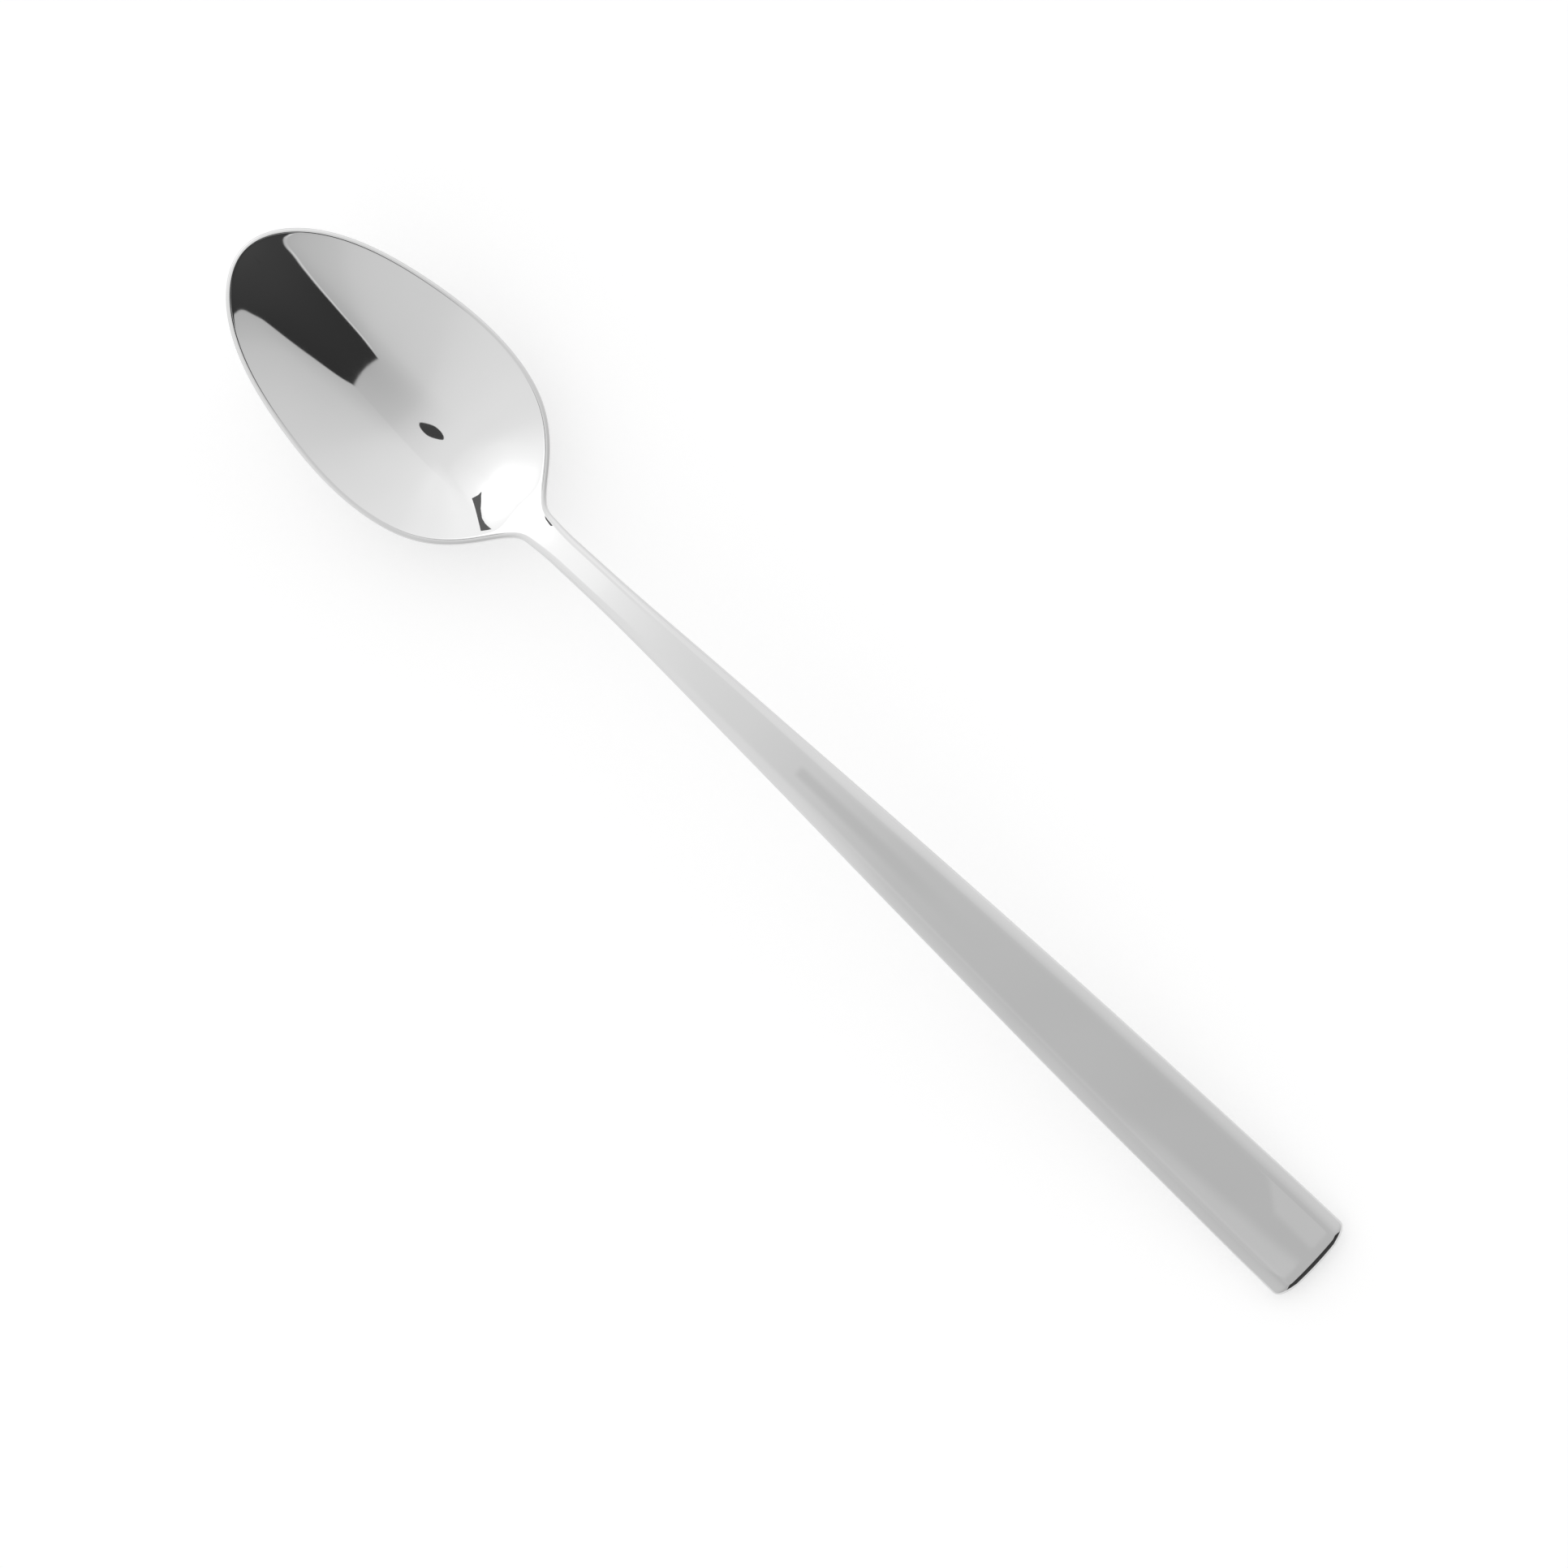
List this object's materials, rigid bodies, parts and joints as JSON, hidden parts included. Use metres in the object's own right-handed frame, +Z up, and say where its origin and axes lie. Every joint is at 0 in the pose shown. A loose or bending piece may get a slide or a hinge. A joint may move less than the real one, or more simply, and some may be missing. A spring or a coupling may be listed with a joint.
{
  "type": "iced tea spoon",
  "caption": "Long-handled spoon with an egg-shaped bowl, a slim rounded neck and a flat handle that widens to a square end, polished steel.",
  "frame": {"origin": "on the table, under the middle of the spoon's length and width, as it lies at rest on the underside of its bowl and the end of its handle", "axes": "+X from the bowl to the handle's end, +Z up, the way the bowl opens, +Y across the spoon"},
  "size_m": [0.1898, 0.029, 0.0157],
  "materials": {
    "polished_steel": "solid stainless steel, mirror polished on every face; not plated"
  },
  "bodies": {
    "root": {"bowl": "polished_steel", "neck": "polished_steel", "handle": "polished_steel"}
  },
  "joints": []
}
